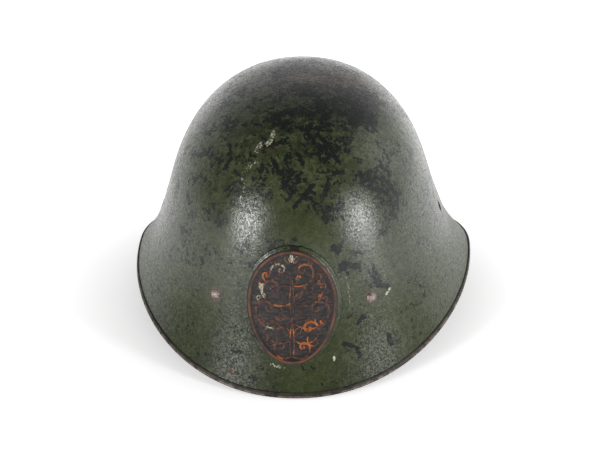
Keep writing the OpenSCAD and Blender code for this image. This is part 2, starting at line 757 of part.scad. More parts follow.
shell();
rim_binding();
badge_plate();
badge_prongs();
liner_rivet(0);  // rivet_front_left
liner_rivet(1);  // rivet_front_right
liner_rivet(2);  // rivet_rear
rivet_spacers();
rivet_washers();
liner_band();
sweatband();
sweatband_rivets();
pad(front_t);  // pad_front
pad(rear_t);  // pad_rear
pad(left_t);  // pad_left
pad(right_t);  // pad_right
tongue(1);  // tongue_1
tongue(2);  // tongue_2
tongue(3);  // tongue_3
tongue(4);  // tongue_4
tongue(5);  // tongue_5
tongue(6);  // tongue_6
tongue(7);  // tongue_7
tongue(8);  // tongue_8
crown_lace();
side_lug(-1);  // side_lug_left
side_lug(1);  // side_lug_right
lug_rivets();
side_ring(-1);  // side_ring_left
side_ring(1);  // side_ring_right
strap_long();
strap_short();
strap_keeper();
buckle_frame();
buckle_tang();
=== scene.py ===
"""Pressed steel field helmet with an oval front plate, a riveted leather liner and a chinstrap."""
import json
import math

import bpy
from mathutils import Matrix, Vector

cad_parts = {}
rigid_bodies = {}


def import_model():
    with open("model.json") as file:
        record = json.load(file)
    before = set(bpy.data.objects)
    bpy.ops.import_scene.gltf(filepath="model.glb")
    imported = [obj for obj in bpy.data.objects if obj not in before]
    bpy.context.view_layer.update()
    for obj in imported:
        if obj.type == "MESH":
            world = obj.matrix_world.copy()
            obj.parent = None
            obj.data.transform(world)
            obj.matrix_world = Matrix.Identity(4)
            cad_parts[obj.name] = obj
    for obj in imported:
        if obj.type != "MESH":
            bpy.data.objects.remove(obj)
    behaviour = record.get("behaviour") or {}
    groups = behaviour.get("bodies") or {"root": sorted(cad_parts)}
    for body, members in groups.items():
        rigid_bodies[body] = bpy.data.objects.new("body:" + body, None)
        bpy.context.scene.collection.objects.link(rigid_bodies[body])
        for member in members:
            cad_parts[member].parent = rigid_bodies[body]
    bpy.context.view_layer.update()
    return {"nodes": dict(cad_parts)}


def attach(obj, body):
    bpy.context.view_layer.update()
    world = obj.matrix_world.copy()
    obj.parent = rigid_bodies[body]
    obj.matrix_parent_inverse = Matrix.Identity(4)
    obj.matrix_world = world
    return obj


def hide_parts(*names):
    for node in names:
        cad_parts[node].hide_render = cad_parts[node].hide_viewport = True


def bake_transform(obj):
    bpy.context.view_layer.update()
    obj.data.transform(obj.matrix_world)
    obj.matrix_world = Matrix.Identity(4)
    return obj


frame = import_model()
cad = frame["nodes"]

# Camera: in front of the helmet and a little above it, turned a trace to one side, with a long lens.
def direction(turn, height=0.0):
    """The way outwards at a turn to the right of the front and a height above level, both in radians."""
    return Vector((math.sin(turn) * math.cos(height), -math.cos(turn) * math.cos(height), math.sin(height)))


aim = Vector((0, -0.00585, 0.080))
azimuth, elevation, roll = math.radians(3.42), math.radians(27.72), math.radians(-0.88)
back = direction(azimuth, elevation)
level = Vector((math.cos(azimuth), math.sin(azimuth), 0))
upright = back.cross(level)
rolled_level = level * math.cos(roll) + upright * math.sin(roll)
rolled_upright = upright * math.cos(roll) - level * math.sin(roll)
camera_distance = 1.22666
camera_turn = Matrix((rolled_level, rolled_upright, back)).transposed().to_euler()
bpy.ops.object.camera_add(location=aim + back * camera_distance, rotation=camera_turn)
camera = bpy.context.object
camera.data.lens = 98.727
camera.data.sensor_width = 36
camera.data.shift_x = -0.00073
camera.data.shift_y = -0.03263
bpy.context.scene.camera = camera
bpy.context.scene.view_settings.view_transform = "Standard"


def put(tree, kind, inputs=None, **settings):
    """Adds a node to the tree. An input takes a value, or another node's output, which is linked to it."""
    made = tree.nodes.new(kind)
    for key, value in settings.items():
        setattr(made, key, value)
    for key, value in (inputs or {}).items():
        if isinstance(value, bpy.types.NodeSocket):
            tree.links.new(value, made.inputs[key])
        else:
            made.inputs[key].default_value = value
    return made


# Studio: a lit white table that also glows with painted light, dimmer round the helmet for a painted shadow,
# brighter to the right and dark in front for painted reflections; a room that is dark in front and overhead
# and bright low down behind the helmet, two tall soft boxes in front that make the two long highlights on the
# bowl, and a pale card at the right.
bpy.ops.mesh.primitive_plane_add(size=9, location=(0, 0, -0.0002))
table = bpy.context.object
table.name = "white_table"
table_top = bpy.data.materials.new("white_table_top")
table_top.use_nodes = True
table_shader = table_top.node_tree.nodes["Principled BSDF"].inputs
table_shader["Base Color"].default_value = (0.85, 0.85, 0.85, 1)
table_shader["Roughness"].default_value = 0.8
table_shader["Specular IOR Level"].default_value = 0.1
table_shader["Emission Color"].default_value = (1, 1, 1, 1)
table_tree = table_top.node_tree
# The table's glow is painted light: weaker near the helmet as a painted shadow round it, stronger to the
# right and dark in front as painted reflections.
table_place = put(table_tree, "ShaderNodeTexCoord").outputs["Object"]
table_reach = put(table_tree, "ShaderNodeVectorMath", {0: table_place}, operation="LENGTH").outputs["Value"]
table_way = put(table_tree, "ShaderNodeSeparateXYZ", {"Vector": table_place}).outputs
table_side = put(table_tree, "ShaderNodeMath", {0: table_way["X"], 1: table_way["Y"]}, operation="ADD")
table_painted_light_right = put(table_tree, "ShaderNodeMapRange", {
    "Value": table_side.outputs[0], "From Min": 0.42, "From Max": 0.62, "To Min": 1.0, "To Max": 1.5})
table_painted_shade_front = put(table_tree, "ShaderNodeMapRange", {
    "Value": table_way["Y"], "From Min": -0.9, "From Max": -0.45, "To Min": 0.15, "To Max": 1.0})
table_glow_with_painted_shadow = put(table_tree, "ShaderNodeMapRange", {
    "Value": table_reach, "From Min": 0.12, "From Max": 0.28,
    "To Min": 0.42, "To Max": table_painted_light_right.outputs["Result"]})
table_painted_glow = put(table_tree, "ShaderNodeMath", {
    0: table_glow_with_painted_shadow.outputs["Result"], 1: table_painted_shade_front.outputs["Result"]}, operation="MULTIPLY")
table_tree.links.new(table_painted_glow.outputs[0], table_shader["Emission Strength"])
table.data.materials.append(table_top)

room = bpy.data.worlds.new("room")
room.use_nodes = True
bpy.context.scene.world = room
room_tree = room.node_tree
room_way = put(room_tree, "ShaderNodeTexCoord").outputs["Generated"]
room_side = put(room_tree, "ShaderNodeSeparateXYZ", {"Vector": room_way}).outputs
room_rear = put(room_tree, "ShaderNodeMapRange", {"Value": room_side["Y"], "From Min": -0.1, "From Max": 0.6})
room_low = put(room_tree, "ShaderNodeMapRange", {
    "Value": room_side["Z"], "From Min": 0.85, "From Max": 0.1, "To Min": 0.1, "To Max": 0.95})
room_glow = put(room_tree, "ShaderNodeMath", {
    0: room_rear.outputs[0], 1: room_low.outputs[0]}, operation="MULTIPLY")
room_light = put(room_tree, "ShaderNodeMath", {0: room_glow.outputs[0], 1: 0.14}, operation="ADD")
room_tree.links.new(room_light.outputs[0], room_tree.nodes["Background"].inputs["Strength"])
room_tree.nodes["Background"].inputs["Color"].default_value = (1, 1, 1, 1)

lamp_aim, lamp_distance = Vector((0, -0.05, 0.1)), 1.3
for name, turn, height, power, width, tall in (
        ("soft_box_left", -42, 9, 13.5, 0.26, 0.56),
        ("soft_box_right", 57, 8, 13.0, 0.26, 0.54),
        ("pale_card_right", 106, 26, 3.2, 0.75, 0.9)):
    way = direction(math.radians(turn), math.radians(height))
    lamp_turn = way.to_track_quat("Z", "Y").to_euler()
    bpy.ops.object.light_add(type="AREA", location=lamp_aim + way * lamp_distance, rotation=lamp_turn)
    lamp = bpy.context.object
    lamp.name = name
    lamp.data.shape = "RECTANGLE"
    lamp.data.size = width
    lamp.data.size_y = tall
    lamp.data.energy = power


# Bowl: one pressing of 1.2 mm steel, brushed with dark green field paint that decades of handling have
# worn through to black steel, most of all round the crown. Holes: three rivets, two vents, two slots.
def pick_none():
    """Nothing is selected."""
    for other in bpy.context.view_layer.objects:
        other.select_set(False)


def copy_of(node, name):
    """A merged copy of a CAD node, in four-sided faces where it can be, alone selected."""
    pick_none()
    piece = bpy.data.objects.new(name, cad[node].data.copy())
    bpy.context.scene.collection.objects.link(piece)
    bpy.context.view_layer.objects.active = piece
    piece.select_set(True)
    piece.data.materials.clear()
    if piece.data.has_custom_normals:
        bpy.ops.mesh.customdata_custom_splitnormals_clear()
    bpy.ops.object.mode_set(mode="EDIT")
    bpy.ops.mesh.select_all(action="SELECT")
    bpy.ops.mesh.remove_doubles(threshold=0.00001)
    bpy.ops.mesh.tris_convert_to_quads(face_threshold=math.radians(30), shape_threshold=math.radians(60))
    bpy.ops.object.mode_set(mode="OBJECT")
    return piece


def select_faces(piece, wanted):
    """Edit mode, with just the faces selected for which wanted(face) is true."""
    bpy.ops.object.mode_set(mode="EDIT")
    bpy.ops.mesh.select_mode(type="FACE")
    bpy.ops.mesh.select_all(action="DESELECT")
    bpy.ops.object.mode_set(mode="OBJECT")
    for face in piece.data.polygons:
        face.select = wanted(face)
    bpy.ops.object.mode_set(mode="EDIT")


def shape(piece, kind, **settings):
    """Adds a modifier to the piece and applies it."""
    modifier = piece.modifiers.new(kind.title(), kind)
    for key, value in settings.items():
        setattr(modifier, key, value)
    bpy.context.view_layer.objects.active = piece
    bpy.ops.object.modifier_apply(modifier=modifier.name)


def smooth(piece, angle=40):
    """Smooth shading, apart from edges sharper than the angle."""
    pick_none()
    piece.select_set(True)
    bpy.context.view_layer.objects.active = piece
    bpy.ops.object.shade_smooth_by_angle(angle=math.radians(angle))


def seat(piece, body, slot, *replaced):
    """The piece rides on its body, and stands for the CAD nodes given."""
    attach(piece, body)
    if replaced:
        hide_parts(*replaced)


bowl_middle = Vector((0, -0.004, 0.045))
sheet_thickness = 0.0012


def outwards(face):
    """How squarely the face looks away from the middle of the bowl: 1 outwards, -1 inwards."""
    return face.normal.dot((face.center - bowl_middle).normalized())


# Only the outer side of the pressing is kept; once it is rounded, it gets its thickness back.
bowl = copy_of("shell", "bowl")
select_faces(bowl, lambda face: outwards(face) < 0.45)
bpy.ops.mesh.delete(type="FACE")
bpy.ops.object.mode_set(mode="OBJECT")
shape(bowl, "SUBSURF", levels=2, render_levels=2)
shape(bowl, "SOLIDIFY", thickness=sheet_thickness, offset=-1)
smooth(bowl)


def new_group(name, takes, gives):
    """A shader node group with inputs (name, kind, value) and outputs (name, kind)."""
    group = bpy.data.node_groups.new(name, "ShaderNodeTree")
    for label, kind, value in takes:
        socket = group.interface.new_socket(label, in_out="INPUT", socket_type="NodeSocket" + kind)
        if value is not None:
            socket.default_value = value
    for label, kind in gives:
        group.interface.new_socket(label, in_out="OUTPUT", socket_type="NodeSocket" + kind)
    return group, group.nodes.new("NodeGroupInput").outputs, group.nodes.new("NodeGroupOutput").inputs


def sums(tree, operation, *values):
    """One step of arithmetic."""
    return put(tree, "ShaderNodeMath", dict(enumerate(values)), operation=operation).outputs[0]


def vector_sums(tree, operation, *values, output=0):
    """One step of arithmetic on vectors."""
    return put(tree, "ShaderNodeVectorMath", dict(enumerate(values)), operation=operation).outputs[output]


def fade(tree, value, low, high, bottom=0.0, top=1.0):
    """A smooth step from bottom to top as the value goes from low to high, level beyond both."""
    inputs = {"Value": value, "From Min": low, "From Max": high, "To Min": bottom, "To Max": top}
    step = put(tree, "ShaderNodeMapRange", inputs, interpolation_type="SMOOTHSTEP", clamp=False)
    return step.outputs["Result"]


def tint(tree, mask, under, over):
    """The colour over, laid on the colour under where the mask is 1."""
    return put(tree, "ShaderNodeMix", {0: mask, 6: under, 7: over}, data_type="RGBA").outputs[2]


def grain(tree, vector, scale, detail=4.0, roughness=0.6):
    """Noise, at a scale in turns per metre."""
    inputs = {"Vector": vector, "Scale": scale, "Detail": detail, "Roughness": roughness}
    return put(tree, "ShaderNodeTexNoise", inputs).outputs["Fac"]


def drawn_out(tree, vector, stretch, turn):
    """The coordinates turned and drawn out, for streaks."""
    way = put(tree, "ShaderNodeMapping", {"Vector": vector, "Rotation": turn}).outputs[0]
    return put(tree, "ShaderNodeMapping", {"Vector": way, "Scale": stretch}).outputs[0]


# Mark: a stroke from one point to another with a hard or soft edge. A blot is a stroke of no length.
mark_group, mark_in, mark_out = new_group(
    "mark",
    [("Vector", "Vector", None), ("Start", "Vector", None), ("End", "Vector", None), ("Width", "Float", 0.01),
     ("Soft", "Float", 0.002)],
    [("Mask", "Float")])
mark_from = vector_sums(mark_group, "SUBTRACT", mark_in["Vector"], mark_in["Start"])
mark_run = vector_sums(mark_group, "SUBTRACT", mark_in["End"], mark_in["Start"])
mark_part = vector_sums(mark_group, "DOT_PRODUCT", mark_from, mark_run, output="Value")
mark_whole = vector_sums(mark_group, "DOT_PRODUCT", mark_run, mark_run, output="Value")
mark_share = sums(mark_group, "MINIMUM", sums(mark_group, "DIVIDE", mark_part, mark_whole), 1.0)
mark_share = sums(mark_group, "MAXIMUM", mark_share, 0.0)
mark_foot = put(mark_group, "ShaderNodeVectorMath", {0: mark_run, "Scale": mark_share}, operation="SCALE")
mark_off = vector_sums(mark_group, "DISTANCE", mark_from, mark_foot.outputs[0], output="Value")
mark_edge = sums(mark_group, "ADD", mark_in["Width"], mark_in["Soft"])
mark_group.links.new(fade(mark_group, mark_off, mark_in["Width"], mark_edge, 1.0, 0.0), mark_out["Mask"])

# Chips: ragged specks and patches where the paint has come away, more of them where Density is high.
chip_group, chip_in, chip_out = new_group(
    "chips",
    [("Vector", "Vector", None), ("Density", "Float", 0.2), ("Scale", "Float", 40.0)],
    [("Mask", "Float")])
chip_coarse = grain(chip_group, chip_in["Vector"], chip_in["Scale"], 3.0)
chip_middle_scale = sums(chip_group, "MULTIPLY", chip_in["Scale"], 3.4)
chip_middle = grain(chip_group, chip_in["Vector"], chip_middle_scale, 3.0, 0.65)
chip_fine_scale = sums(chip_group, "MULTIPLY", chip_in["Scale"], 9.0)
chip_fine = grain(chip_group, chip_in["Vector"], chip_fine_scale, 2.0, 0.6)
chip_sum = sums(chip_group, "MULTIPLY", chip_coarse, 0.25)
chip_sum = sums(chip_group, "MULTIPLY_ADD", chip_middle, 0.45, chip_sum)
chip_sum = sums(chip_group, "MULTIPLY_ADD", chip_fine, 0.30, chip_sum)
chip_line = sums(chip_group, "MULTIPLY_ADD", chip_in["Density"], -0.24, 0.68)
chip_mask = fade(chip_group, chip_sum, chip_line, sums(chip_group, "ADD", chip_line, 0.014))
chip_group.links.new(chip_mask, chip_out["Mask"])

# Scratches: long thin broken lines that run one way, set by Turn.
scratch_group, scratch_in, scratch_out = new_group(
    "scratches",
    [("Vector", "Vector", None), ("Turn", "Vector", None), ("Scale", "Float", 20.0), ("Thin", "Float", 0.02)],
    [("Mask", "Float")])
scratch_way = drawn_out(scratch_group, scratch_in["Vector"], (1, 10, 10), scratch_in["Turn"])
scratch_field = grain(scratch_group, scratch_way, scratch_in["Scale"], 1.0, 0.4)
scratch_line = sums(scratch_group, "ABSOLUTE", sums(scratch_group, "SUBTRACT", scratch_field, 0.5))
scratch_thin = fade(scratch_group, scratch_line, 0.0, scratch_in["Thin"], 1.0, 0.0)
scratch_gate = fade(scratch_group, grain(scratch_group, scratch_in["Vector"], 60.0, 3.0), 0.52, 0.6)
scratch_group.links.new(sums(scratch_group, "MULTIPLY", scratch_thin, scratch_gate), scratch_out["Mask"])


def new_material(name):
    """A Principled material: gives it, its tree, its shader's inputs and the piece's own coordinates."""
    made = bpy.data.materials.new(name)
    made.use_nodes = True
    tree = made.node_tree
    return made, tree, tree.nodes["Principled BSDF"].inputs, put(tree, "ShaderNodeTexCoord").outputs["Object"]


def marks(tree, vector, places):
    """The strongest of several marks, each (start, end, width, soft, strength), in millimetres."""
    total = None
    for start, end, width, soft, strength in places:
        inputs = {"Vector": vector, "Start": [v / 1000 for v in start], "End": [v / 1000 for v in end],
                  "Width": width / 1000, "Soft": soft / 1000}
        mask = put(tree, "ShaderNodeGroup", inputs, node_tree=mark_group).outputs[0]
        mask = sums(tree, "MULTIPLY", mask, strength)
        total = mask if total is None else sums(tree, "MAXIMUM", total, mask)
    return total


def chips(tree, vector, density, scale):
    """The chips group, placed in the tree."""
    inputs = {"Vector": vector, "Density": density, "Scale": scale}
    return put(tree, "ShaderNodeGroup", inputs, node_tree=chip_group).outputs[0]


def scratches(tree, vector, turn, scale, thin):
    """The scratches group, placed in the tree."""
    inputs = {"Vector": vector, "Turn": turn, "Scale": scale, "Thin": thin}
    return put(tree, "ShaderNodeGroup", inputs, node_tree=scratch_group).outputs[0]


def bump(tree, shader, height, strength, distance):
    """The height felt as relief on the surface."""
    inputs = {"Height": height, "Strength": strength, "Distance": distance}
    tree.links.new(put(tree, "ShaderNodeBump", inputs).outputs["Normal"], shader["Normal"])


deep_green = (0.011, 0.015, 0.004, 1)
mid_green = (0.021, 0.028, 0.008, 1)
pale_green = (0.064, 0.075, 0.036, 1)
black_steel = (0.0062, 0.0070, 0.0076, 1)
brown_rust = (0.070, 0.040, 0.027, 1)
old_primer = (0.36, 0.355, 0.27, 1)

# Field paint. What has a ragged edge takes coordinates that are moved by up to 3 mm each way.
field_paint, tree, shader, place = new_material("worn_field_paint")
wobble_noise = {"Vector": place, "Scale": 260.0, "Detail": 5.0, "Roughness": 0.7}
wobble = put(tree, "ShaderNodeTexNoise", wobble_noise).outputs["Color"]
wobble = vector_sums(tree, "SUBTRACT", wobble, (0.5, 0.5, 0.5))
wobble_reach = 0.006
wobble = put(tree, "ShaderNodeVectorMath", {0: wobble, "Scale": wobble_reach}, operation="SCALE").outputs[0]
ragged = vector_sums(tree, "ADD", place, wobble)

# Where the paint is chipped in fields: the crown, its front and rear, and patches on the front and the skirt.
worn_fields = marks(tree, place, [
    ((33, -13, 178), (10, 15, 182), 22, 36, 0.95),
    ((-5, -58, 174), (20, -54, 175), 8, 14, 0.86),
    ((20, -54, 175), (52, -42, 169), 7, 14, 0.86),
    ((-20, -60, 172), (60, -52, 162), 14, 26, 0.64),
    ((-14, -78, 162), (6, -82, 160), 4, 12, 0.76),
    ((14, -68, 168), (28, -77, 161), 4, 11, 0.78),
    ((-11, -88, 154), (0, -97, 144), 5, 10, 0.74),
    ((24, -93, 145), (48, -86, 141), 5, 10, 0.76),
    ((62, -76, 132), (74, -70, 126), 4, 10, 0.74),
    ((30, -70, 162), (62, -60, 148), 6, 22, 0.64),
    ((40, -88, 138), (74, -62, 138), 8, 20, 0.55),
    ((-45, -68, 156), (-50, -80, 144), 3, 9, 0.70),
    ((-66, -48, 146), (-32, -40, 173), 10, 30, 0.60),
    ((-76, -56, 130), (-84, -54, 100), 6, 22, 0.62),
    ((34, -110, 101), (45, -106, 99), 4, 8, 0.68),
    ((36, -110, 88), (57, -103, 72), 3, 10, 0.64),
    ((64, -97, 105), (72, -92, 95), 4, 12, 0.64),
    ((40, -122, 30), (50, -119, 27), 3, 9, 0.66),
    ((66, -106, 36), (70, -107, 26), 3, 10, 0.62),
    ((86, -88, 42), (96, -70, 42), 3, 14, 0.60),
    ((-42, -126, 14), (-20, -131, 14), 3, 9, 0.64),
    ((-76, -69, 119), (-70, -78, 106), 2, 12, 0.64),
    ((-50, -100, 118), (-36, -106, 112), 3, 9, 0.64),
    ((0, 60, 150), (20, 100, 110), 12, 60, 0.70)])
where = put(tree, "ShaderNodeSeparateXYZ", {"Vector": place}).outputs

# Single wounds of the paint, each drawn by its own strokes, and the bare edges of the two vents.
wounds = marks(tree, ragged, [
    ((-45, -66, 158), (-44, -74, 154), 0.6, 2.6, 1.34),
    ((-44, -74, 154), (-47, -79, 147), 0.7, 2.6, 1.34),
    ((-47, -79, 147), (-53, -79, 142), 0.3, 2.6, 1.34),
    ((-36, -55, 169), (-34, -56, 168), 0.7, 2.6, 1.34),
    ((-13, -86, 156), (-4, -98, 144), 1.0, 2.6, 1.21),
    ((6, -92, 151), (3, -97, 145), 0.4, 2.6, 1.34),
    ((3, -82, 160), (7, -87, 156), 0.8, 2.6, 1.34),
    ((16, -96, 145), (8, -101, 138), 0.5, 2.6, 1.34),
    ((8, -101, 138), (1, -106, 130), 0.7, 2.6, 1.34),
    ((16, -67, 168), (23, -74, 163), 1.0, 2.6, 1.34),
    ((23, -74, 163), (32, -82, 153), 0.4, 2.6, 1.34),
    ((20, -85, 156), (20, -86, 155), 0.5, 2.6, 1.34),
    ((29, -88, 149), (35, -86, 148), 1.0, 2.6, 1.21),
    ((26, -92, 146), (22, -99, 138), 1.0, 2.6, 1.21),
    ((46, -81, 146), (49, -85, 138), 0.6, 2.6, 1.34),
    ((49, -85, 138), (64, -78, 129), 0.6, 2.6, 1.34),
    ((60, -66, 147), (60, -68, 145), 0.8, 2.6, 1.34),
    ((66, -72, 133), (73, -72, 122), 1.1, 2.6, 1.34),
    ((-77, -66, 120), (-74, -71, 116), 1.0, 2.6, 1.34),
    ((-58, -69, 146), (-57, -71, 144), 0.3, 2.6, 1.34),
    ((34, -110, 89), (45, -107, 87), 1.4, 2.6, 1.34),
    ((28, -110, 103), (32, -110, 100), 0.8, 2.6, 1.34),
    ((53, -103, 95), (57, -103, 84), 0.6, 2.6, 1.34),
    ((57, -103, 84), (58, -104, 68), 1.1, 2.6, 1.34),
    ((60, -102, 68), (66, -99, 66), 1.2, 2.6, 1.34),
    ((68, -95, 102), (74, -90, 94), 0.6, 2.6, 1.21),
    ((36, -122, 33), (46, -120, 28), 0.6, 2.6, 1.34),
    ((45, -121, 29), (47, -122, 23), 0.6, 2.6, 1.34),
    ((67, -107, 31), (69, -108, 25), 1.2, 2.6, 1.34),
    ((84, -91, 34), (84, -92, 33), 0.4, 2.6, 1.34),
    ((45, -115, 45), (50, -112, 50), 0.3, 2.6, 1.21),
    ((-36, -125, 26), (-41, -123, 25), 0.5, 2.6, 1.08),
    ((-48, -102, 117), (-40, -105, 116), 0.6, 2.6, 1.21),
    ((-44, -111, 95), (-30, -113, 96), 0.3, 2.6, 1.21),
    ((-47, -107, 102), (-45, -108, 98), 0.6, 2.6, 1.21),
    ((-102.8, -2, 79.4), (-102.8, -2, 79.4), 4.4, 2.0, 1.40),
    ((102.8, -2, 79.4), (102.8, -2, 79.4), 4.2, 1.6, 1.40),
    ((-64, -95, 84), (-64, -96, 81), 0.6, 2.6, 1.21)])

# Chips are denser in the fields, round the wounds and towards the crown, and stand in clusters.
density = sums(tree, "MAXIMUM", worn_fields, wounds)
density = sums(tree, "MAXIMUM", density, fade(tree, where["Z"], 0.05, 0.14, 0.34, 0.57))
clusters = fade(tree, grain(tree, place, 36.0, 3.0), 0.36, 0.64, -0.14, 0.17)
specks = chips(tree, place, sums(tree, "ADD", density, clusters), 72.0)

# Single long scratches, drawn one by one, and fine scores all over.
lines = marks(tree, ragged, [
    ((-22, -14, 181), (-3, -39, 180), 0.2, 0.5, 0.9),
    ((-30, -20, 179), (-52, -36, 165), 0.1, 0.5, 0.8),
    ((72, -42, 146), (80, -43, 133), 0.1, 0.4, 0.7),
    ((99, -62, 47), (97, -69, 42), 0.2, 0.4, 0.9),
    ((38, -104, 119), (52, -96, 126), 0.1, 0.4, 0.8),
    ((45, -108, 104), (57, -99, 110), 0.1, 0.4, 0.8),
    ((-51, -108, 85), (-52, -103, 108), 0.2, 0.4, 0.9),
    ((-52, -103, 108), (-55, -86, 140), 0.1, 0.3, 0.6)])
scores = sums(tree, "MAXIMUM",
              scratches(tree, place, (0.3, 0.5, 0.9), 24.0, 0.010),
              scratches(tree, place, (0.9, -0.6, -0.7), 28.0, 0.009))
bare = sums(tree, "MAXIMUM", specks, sums(tree, "MAXIMUM", lines, sums(tree, "MULTIPLY", scores, 0.6)))

# Colour from below upwards: paint, fading and grit, grime at the crown, bare steel, rust, then old primer.
tone = grain(tree, place, 14.0, 5.0)
mottle = grain(tree, place, 190.0, 6.0, 0.75)
grit = grain(tree, place, 620.0, 3.0, 0.7)
colour = tint(tree, fade(tree, tone, 0.34, 0.66), deep_green, mid_green)
faded = sums(tree, "MULTIPLY", fade(tree, mottle, 0.40, 0.70), fade(tree, where["Z"], 0.12, 0.155, 0.42, 1.0))
colour = tint(tree, faded, colour, pale_green)
colour = tint(tree, fade(tree, grit, 0.54, 0.62, 0.0, 0.3), colour, black_steel)
colour = tint(tree, fade(tree, grit, 0.44, 0.38, 0.0, 0.25), colour, pale_green)
grime = marks(tree, place, [((30, -14, 178), (6, 10, 182), 20, 34, 1.0)])
grime_streaks = grain(tree, drawn_out(tree, place, (1, 3, 3), (0.2, 0.1, 0.5)), 210.0, 5.0, 0.7)
grime = sums(tree, "MULTIPLY", grime, fade(tree, grime_streaks, 0.42, 0.54, 0.15, 0.88))
colour = tint(tree, grime, colour, black_steel)
colour = tint(tree, sums(tree, "MULTIPLY", bare, 0.94), colour, black_steel)
rust = marks(tree, place, [
    ((6, 3, 183), (40, 10, 177), 5, 16, 1.0),
    ((-18, -76, 162), (-14, -78, 160), 1, 5, 0.3),
    ((-43, -129, 12), (-42, -129, 13), 1, 4, 0.35)])
rust = sums(tree, "MULTIPLY", rust, fade(tree, grain(tree, place, 90.0, 5.0, 0.7), 0.38, 0.58))
rivet_heads = [(-54.3, -105.9, 61.6), (54.3, -105.9, 61.6), (0, 125.5, 61.6)]
rivet_rust = marks(tree, ragged, [(head, head, 3.4, 2.6, 0.95) for head in rivet_heads])
colour = tint(tree, sums(tree, "MAXIMUM", rust, rivet_rust), colour, brown_rust)

# Old primer shows in cream flecks, and along a hairline crack beside the plate.
primer_field = marks(tree, place, [
    ((-14, -67, 170), (-15, -70, 167), 1.0, 2.5, 1.0),
    ((-16, -73, 165), (-18, -75, 163), 1.0, 2.5, 1.0),
    ((-23, -74, 163), (-25, -77, 160), 1.2, 2.5, 1.0),
    ((-25, -84, 155), (-33, -86, 149), 0.8, 4, 0.74),
    ((-34, -88, 146), (-35, -97, 134), 0.8, 4, 0.70),
    ((58, 0, 166), (67, 8, 160), 1.0, 4, 0.85),
    ((67, -97, 63), (65, -99, 60), 0.5, 1.4, 1.2),
    ((29, -127, 25), (29, -128, 23), 0.4, 1.0, 1.3),
    ((-14, -132, 21), (-6, -133, 19), 0.6, 2.5, 0.85),
    ((18, 0, 182), (18, 1, 182), 0.3, 1.0, 1.1)])
primer = chips(tree, place, sums(tree, "MULTIPLY", primer_field, 0.76), 200.0)
primer = sums(tree, "MULTIPLY", primer, fade(tree, primer_field, 0.1, 0.5))
crack = marks(tree, ragged, [
    ((37, -111, 81), (39, -112, 70), 0.15, 0.4, 0.4),
    ((39, -112, 70), (40, -113, 60), 0.15, 0.4, 0.4),
    ((40, -113, 60), (42, -113, 58), 0.15, 0.4, 0.4),
    ((-13, -82, 159), (-1, -96, 145), 0.15, 0.4, 0.14)])
colour = tint(tree, sums(tree, "MAXIMUM", primer, crack), colour, old_primer)
tree.links.new(colour, shader["Base Color"])

# The skirt is duller than the bowl, bare steel is duller than paint, and the grit breaks the highlights up.
roughness = fade(tree, grit, 0.44, 0.58, 0.20, 0.36)
roughness = sums(tree, "ADD", roughness, fade(tree, where["Z"], 0.045, 0.085, 0.14, 0.0))
tree.links.new(sums(tree, "MULTIPLY_ADD", bare, 0.06, roughness), shader["Roughness"])
gloss = fade(tree, where["Z"], 0.04, 0.08, fade(tree, where["Y"], -0.10, -0.05, 0.20, 0.48), 0.46)
gloss = sums(tree, "MULTIPLY", gloss, fade(tree, grit, 0.44, 0.56, 1.15, 0.8))
gloss = sums(tree, "MULTIPLY", gloss, fade(tree, bare, 0.0, 1.0, 1.05, 0.65))
tree.links.new(gloss, shader["Specular IOR Level"])
brushed = grain(tree, drawn_out(tree, place, (1, 7, 7), (0.4, 0.2, 0.6)), 80.0, 5.0, 0.7)
relief = sums(tree, "MULTIPLY_ADD", grit, 0.8, brushed)
bump(tree, shader, relief, 0.4, 0.00045)

inner_paint, tree, shader, place = new_material("inner_field_paint")
colour = tint(tree, fade(tree, grain(tree, place, 22.0), 0.35, 0.65), mid_green, pale_green)
colour = tint(tree, chips(tree, place, 0.16, 60.0), colour, brown_rust)
tree.links.new(colour, shader["Base Color"])
tree.links.new(fade(tree, grain(tree, place, 300.0), 0.3, 0.7, 0.45, 0.6), shader["Roughness"])
bump(tree, shader, grain(tree, place, 500.0), 0.3, 0.0003)

bowl.data.materials.append(field_paint)
bowl.data.materials.append(inner_paint)
select_faces(bowl, lambda face: outwards(face) < 0)
bowl.active_material_index = 1
bpy.ops.object.material_slot_assign()
bpy.ops.object.mode_set(mode="OBJECT")
seat(bowl, "root", "helmet_paint", "shell")


# Rim binding: a 0.6 mm steel strip folded over the edge of the bowl, its ends butted at the rear. Its paint
# is worn to brown oxide, with bright dashes along the fold where the helmet has stood and been dragged.
rim = copy_of("rim_binding", "rim")
shape(rim, "SUBSURF", levels=2, render_levels=2)
smooth(rim, 60)
rim_finish, tree, shader, place = new_material("worn_rim_strip")
rim_normal = put(tree, "ShaderNodeTexCoord").outputs["Normal"]
facing = put(tree, "ShaderNodeSeparateXYZ", {"Vector": rim_normal}).outputs["Z"]
fold = sums(tree, "MULTIPLY", fade(tree, facing, -0.15, 0.05), fade(tree, facing, 0.5, 0.25))
bright = sums(tree, "MULTIPLY", fold, fade(tree, grain(tree, place, 120.0, 6.0, 0.75), 0.45, 0.56))
painted = fade(tree, grain(tree, place, 80.0, 4.0), 0.42, 0.56)
painted = sums(tree, "MULTIPLY", painted, fade(tree, facing, 0.45, 0.6))
oxide = fade(tree, grain(tree, place, 240.0), 0.35, 0.7)
colour = tint(tree, oxide, (0.005, 0.004, 0.004, 1), (0.026, 0.016, 0.012, 1))
colour = tint(tree, sums(tree, "MULTIPLY", painted, 0.8), colour, mid_green)
colour = tint(tree, bright, colour, (0.15, 0.12, 0.095, 1))
tree.links.new(colour, shader["Base Color"])
tree.links.new(sums(tree, "MULTIPLY", bright, 0.85), shader["Metallic"])
tree.links.new(fade(tree, grain(tree, place, 300.0), 0.3, 0.7, 0.45, 0.65), shader["Roughness"])
shader["Specular IOR Level"].default_value = 0.3
bump(tree, shader, grain(tree, place, 420.0), 0.5, 0.0003)
rim.data.materials.append(rim_finish)
seat(rim, "root", "rim_steel", "rim_binding")


